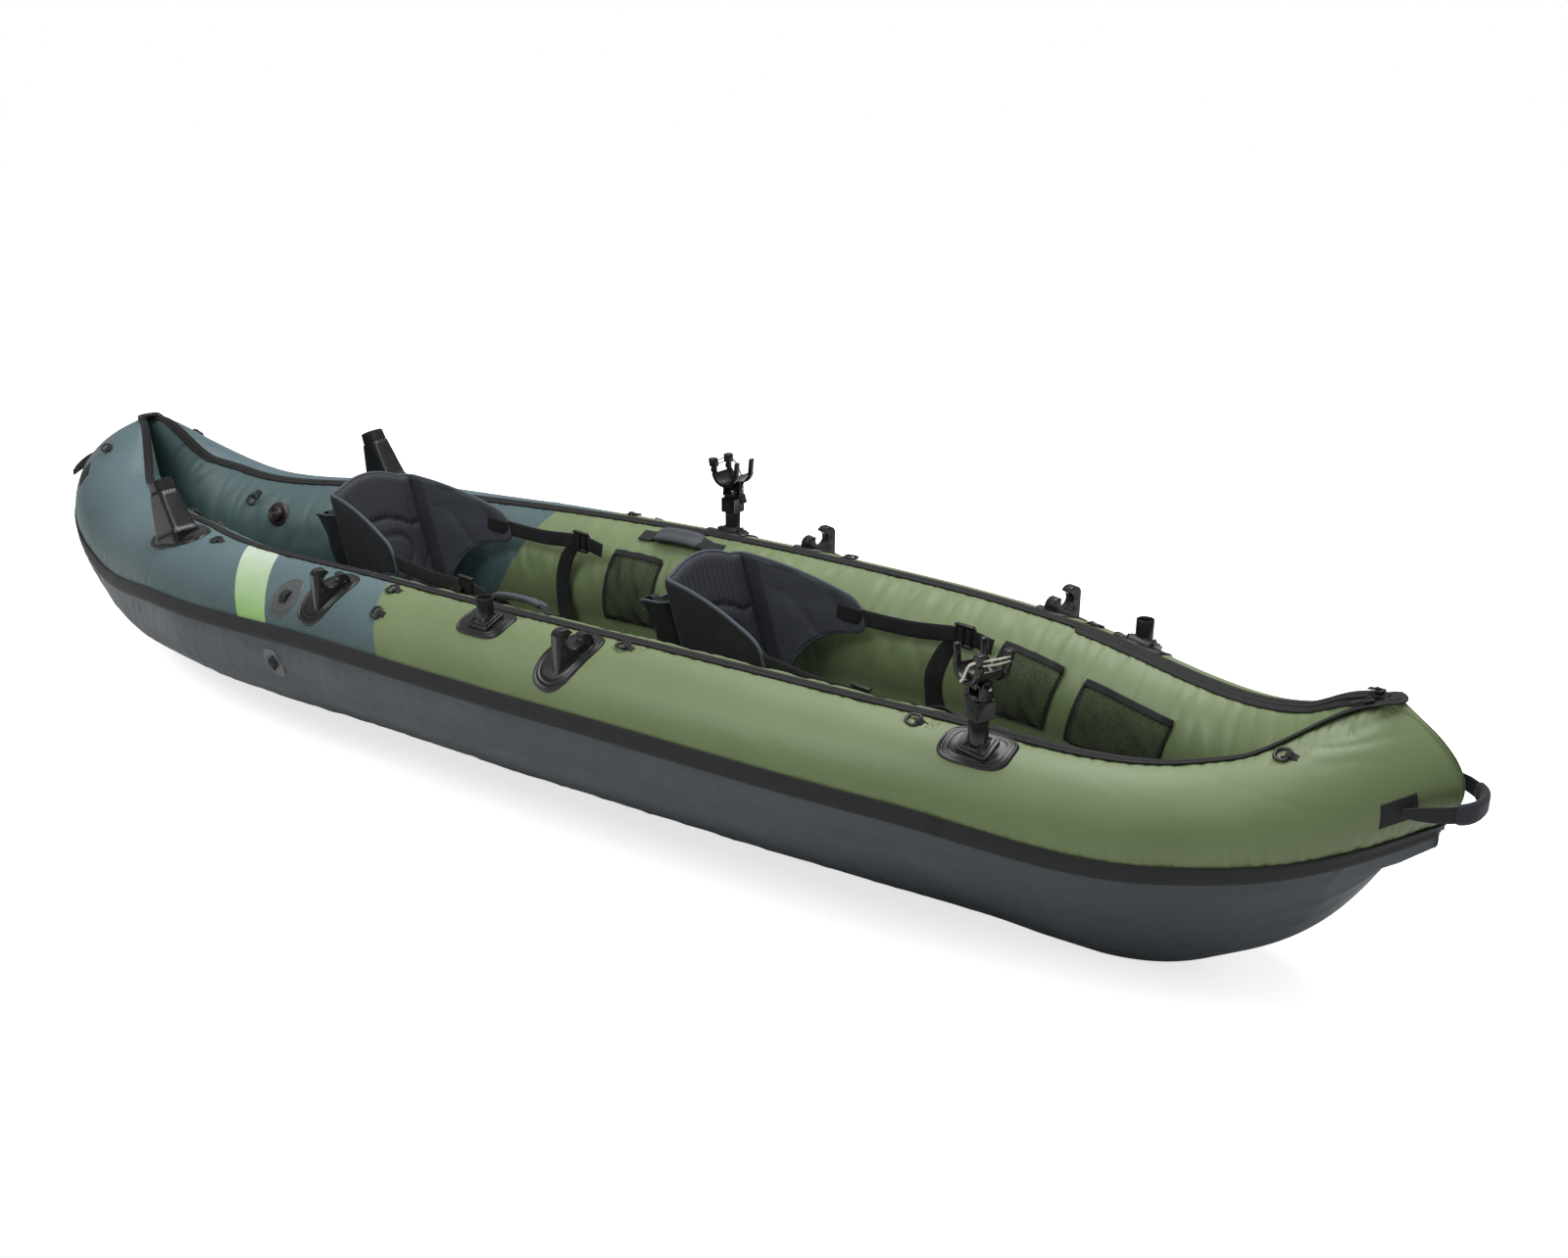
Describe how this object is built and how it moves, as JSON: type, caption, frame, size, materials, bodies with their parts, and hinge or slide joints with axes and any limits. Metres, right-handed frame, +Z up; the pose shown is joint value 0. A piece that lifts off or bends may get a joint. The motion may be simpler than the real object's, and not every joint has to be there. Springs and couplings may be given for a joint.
{
  "type": "inflatable fishing kayak",
  "caption": "Open inflatable kayak with twin side tubes, padded seats with wrap-round backrests, rod holders, paddle clips, motor sockets and lashing rings.",
  "frame": {"origin": "under the middle of the boat, at the height of the lowest point of its bottom", "axes": "+X towards the bow, +Y to port, +Z up"},
  "size_m": [3.33, 0.874, 0.5648],
  "materials": {
    "cover_fabric": "coated woven cover cloth, green forward and dark teal aft, satin",
    "tarpaulin": "dark grey-blue coated tarpaulin, semi-gloss, creased",
    "bladder": "welded film bladder inside the cover",
    "webbing": "black woven webbing and binding",
    "seat_fabric": "near-black quilted seat cloth",
    "moulded_plastic": "black moulded fittings, glossy"
  },
  "bodies": {
    "hull": {"air_chamber_port": "bladder", "air_chamber_starboard": "bladder", "buckle_front_port": "moulded_plastic", "buckle_front_starboard": "moulded_plastic", "buckle_rear_port": "moulded_plastic", "buckle_rear_starboard": "moulded_plastic", "floor_air_chamber": "bladder", "hull_bottom": "tarpaulin", "inner_cover_port": "cover_fabric", "inner_cover_starboard": "cover_fabric", "motor_mount_port": "moulded_plastic", "motor_mount_starboard": "moulded_plastic", "outer_cover_port": "cover_fabric", "outer_cover_starboard": "cover_fabric", "paddle_clip_port_1": "moulded_plastic", "paddle_clip_port_2": "moulded_plastic", "paddle_clip_starboard_1": "moulded_plastic", "paddle_clip_starboard_2": "moulded_plastic", "rod_mount_port_aft": "moulded_plastic", "rod_mount_port_forward": "moulded_plastic", "rod_mount_starboard_aft": "moulded_plastic", "rod_mount_starboard_forward": "moulded_plastic", "rub_strip": "webbing", "seat_cushion_front": "seat_fabric", "seat_cushion_rear": "seat_fabric", "seat_strap_front_port": "webbing", "seat_strap_front_starboard": "webbing", "seat_strap_rear_port": "webbing", "seat_strap_rear_starboard": "webbing", "zip_binding": "webbing"},
    "ring_starboard_stern": {"lashing_ring_starboard_stern": "moulded_plastic"},
    "ring_starboard_aft": {"lashing_ring_starboard_aft": "moulded_plastic"},
    "ring_starboard_mid_aft": {"lashing_ring_starboard_mid_aft": "moulded_plastic"},
    "ring_starboard_seam": {"lashing_ring_starboard_seam": "moulded_plastic"},
    "ring_starboard_mid": {"lashing_ring_starboard_mid": "moulded_plastic"},
    "ring_starboard_mid_forward": {"lashing_ring_starboard_mid_forward": "moulded_plastic"},
    "ring_starboard_bow": {"lashing_ring_starboard_bow": "moulded_plastic"},
    "ring_port_stern": {"lashing_ring_port_stern": "moulded_plastic"},
    "ring_port_aft": {"lashing_ring_port_aft": "moulded_plastic"},
    "ring_port_mid_aft": {"lashing_ring_port_mid_aft": "moulded_plastic"},
    "ring_port_seam": {"lashing_ring_port_seam": "moulded_plastic"},
    "ring_port_mid": {"lashing_ring_port_mid": "moulded_plastic"},
    "ring_port_mid_forward": {"lashing_ring_port_mid_forward": "moulded_plastic"},
    "ring_port_bow": {"lashing_ring_port_bow": "moulded_plastic"},
    "bow_handle_loop": {"bow_handle": "webbing"},
    "stern_handle_loop": {"stern_handle": "webbing"},
    "back_rear": {"backrest_rear": "seat_fabric", "gear_pocket_rear": "webbing"},
    "back_front": {"backrest_front": "seat_fabric", "gear_pocket_front": "webbing"},
    "holder_shank_starboard": {"rod_holder_shank_starboard": "moulded_plastic"},
    "holder_head_starboard": {"rod_holder_head_starboard": "moulded_plastic"},
    "holder_cradle_starboard": {"rod_holder_cradle_starboard": "moulded_plastic"},
    "holder_lever_starboard": {"rod_holder_lever_starboard": "moulded_plastic"},
    "valve_starboard": {"valve_cap_starboard": "moulded_plastic"},
    "holder_shank_port": {"rod_holder_shank_port": "moulded_plastic"},
    "holder_head_port": {"rod_holder_head_port": "moulded_plastic"},
    "holder_cradle_port": {"rod_holder_cradle_port": "moulded_plastic"},
    "holder_lever_port": {"rod_holder_lever_port": "moulded_plastic"},
    "valve_port": {"valve_cap_port": "moulded_plastic"}
  },
  "joints": [
    {"name": "ring_starboard_stern_swing", "type": "hinge", "parent": "hull", "child": "ring_starboard_stern", "pos_m": [-1.45549, -0.11844, 0.44804], "axis": [0, 0.89, 0.4559], "range_deg": [0, 170]},
    {"name": "ring_starboard_aft_swing", "type": "hinge", "parent": "hull", "child": "ring_starboard_aft", "pos_m": [-0.81367, -0.28431, 0.38451], "axis": [0, 0.9831, 0.183], "range_deg": [0, 170]},
    {"name": "ring_starboard_mid_aft_swing", "type": "hinge", "parent": "hull", "child": "ring_starboard_mid_aft", "pos_m": [-0.21521, -0.32602, 0.41055], "axis": [0, 0.9621, 0.2727], "range_deg": [0, 170]},
    {"name": "ring_starboard_seam_swing", "type": "hinge", "parent": "hull", "child": "ring_starboard_seam", "pos_m": [-0.19515, -0.38456, 0.38426], "axis": [0, 0.7316, 0.6817], "range_deg": [0, 170]},
    {"name": "ring_starboard_mid_swing", "type": "hinge", "parent": "hull", "child": "ring_starboard_mid", "pos_m": [0.35295, -0.31821, 0.42603], "axis": [0, 0.9961, 0.0883], "range_deg": [0, 170]},
    {"name": "ring_starboard_mid_forward_swing", "type": "hinge", "parent": "hull", "child": "ring_starboard_mid_forward", "pos_m": [0.90258, -0.27779, 0.41947], "axis": [0, 0.9383, 0.3457], "range_deg": [0, 170]},
    {"name": "ring_starboard_bow_swing", "type": "hinge", "parent": "hull", "child": "ring_starboard_bow", "pos_m": [1.41583, -0.12973, 0.45188], "axis": [0, 0.8871, 0.4615], "range_deg": [0, 170]},
    {"name": "ring_port_stern_swing", "type": "hinge", "parent": "hull", "child": "ring_port_stern", "pos_m": [-1.45549, 0.11844, 0.44804], "axis": [0, -0.89, 0.4559], "range_deg": [0, 170]},
    {"name": "ring_port_aft_swing", "type": "hinge", "parent": "hull", "child": "ring_port_aft", "pos_m": [-0.81367, 0.28431, 0.38451], "axis": [0, -0.9831, 0.183], "range_deg": [0, 170]},
    {"name": "ring_port_mid_aft_swing", "type": "hinge", "parent": "hull", "child": "ring_port_mid_aft", "pos_m": [-0.21521, 0.32602, 0.41055], "axis": [0, -0.9621, 0.2727], "range_deg": [0, 170]},
    {"name": "ring_port_seam_swing", "type": "hinge", "parent": "hull", "child": "ring_port_seam", "pos_m": [-0.19515, 0.38456, 0.38426], "axis": [0, -0.7316, 0.6817], "range_deg": [0, 170]},
    {"name": "ring_port_mid_swing", "type": "hinge", "parent": "hull", "child": "ring_port_mid", "pos_m": [0.35295, 0.31821, 0.42603], "axis": [0, -0.9961, 0.0883], "range_deg": [0, 170]},
    {"name": "ring_port_mid_forward_swing", "type": "hinge", "parent": "hull", "child": "ring_port_mid_forward", "pos_m": [0.90258, 0.27779, 0.41947], "axis": [0, -0.9383, 0.3457], "range_deg": [0, 170]},
    {"name": "ring_port_bow_swing", "type": "hinge", "parent": "hull", "child": "ring_port_bow", "pos_m": [1.41583, 0.12973, 0.45188], "axis": [0, -0.8871, 0.4615], "range_deg": [0, 170]},
    {"name": "bow_handle_flip", "type": "hinge", "parent": "hull", "child": "bow_handle_loop", "pos_m": [1.53, 0, 0.392], "axis": [0, 1, 0], "range_deg": [-35, 35], "stiffness_Nm_per_rad": 0.2},
    {"name": "stern_handle_flip", "type": "hinge", "parent": "hull", "child": "stern_handle_loop", "pos_m": [-1.532, 0, 0.39], "axis": [0, 1, 0], "range_deg": [-22, 35], "stiffness_Nm_per_rad": 0.2},
    {"name": "backrest_rear_fold", "type": "hinge", "parent": "hull", "child": "back_rear", "pos_m": [-0.572, 0, 0.14], "axis": [0, 1, 0], "range_deg": [0, 30], "deforming": ["seat_strap_rear_starboard", "seat_strap_rear_port"]},
    {"name": "backrest_front_fold", "type": "hinge", "parent": "hull", "child": "back_front", "pos_m": [0.35, 0, 0.14], "axis": [0, 1, 0], "range_deg": [0, 30], "deforming": ["seat_strap_front_starboard", "seat_strap_front_port"]},
    {"name": "holder_lift_starboard", "type": "slide", "parent": "hull", "child": "holder_shank_starboard", "axis": [0, 0, 1], "range_m": [0, 0.06]},
    {"name": "holder_swivel_starboard", "type": "hinge", "parent": "holder_shank_starboard", "child": "holder_head_starboard", "pos_m": [1.00311, -0.27471, 0.45036], "axis": [0, 0, 1], "continuous": true},
    {"name": "cradle_tilt_starboard", "type": "hinge", "parent": "holder_head_starboard", "child": "holder_cradle_starboard", "pos_m": [1.00311, -0.27471, 0.50296], "axis": [0.9063, -0.4226, 0], "range_deg": [-35, 35]},
    {"name": "lever_turn_starboard", "type": "hinge", "parent": "holder_head_starboard", "child": "holder_lever_starboard", "pos_m": [1.00311, -0.27471, 0.50296], "axis": [0.9063, -0.4226, 0], "range_deg": [0, 90]},
    {"name": "valve_turn_starboard", "type": "hinge", "parent": "hull", "child": "valve_starboard", "pos_m": [-1.11071, -0.07524, 0.30801], "axis": [0.197, 0.8882, 0.415], "continuous": true},
    {"name": "holder_lift_port", "type": "slide", "parent": "hull", "child": "holder_shank_port", "axis": [0, 0, 1], "range_m": [0, 0.06]},
    {"name": "holder_swivel_port", "type": "hinge", "parent": "holder_shank_port", "child": "holder_head_port", "pos_m": [0.045, 0.34682, 0.45575], "axis": [0, 0, 1], "continuous": true},
    {"name": "cradle_tilt_port", "type": "hinge", "parent": "holder_head_port", "child": "holder_cradle_port", "pos_m": [0.045, 0.34682, 0.50835], "axis": [-1, 0, 0], "range_deg": [-35, 35]},
    {"name": "lever_turn_port", "type": "hinge", "parent": "holder_head_port", "child": "holder_lever_port", "pos_m": [0.045, 0.34682, 0.50835], "axis": [-1, 0, 0], "range_deg": [0, 90]},
    {"name": "valve_turn_port", "type": "hinge", "parent": "hull", "child": "valve_port", "pos_m": [-1.11071, 0.07524, 0.30801], "axis": [0.197, -0.8882, 0.415], "continuous": true}
  ]
}
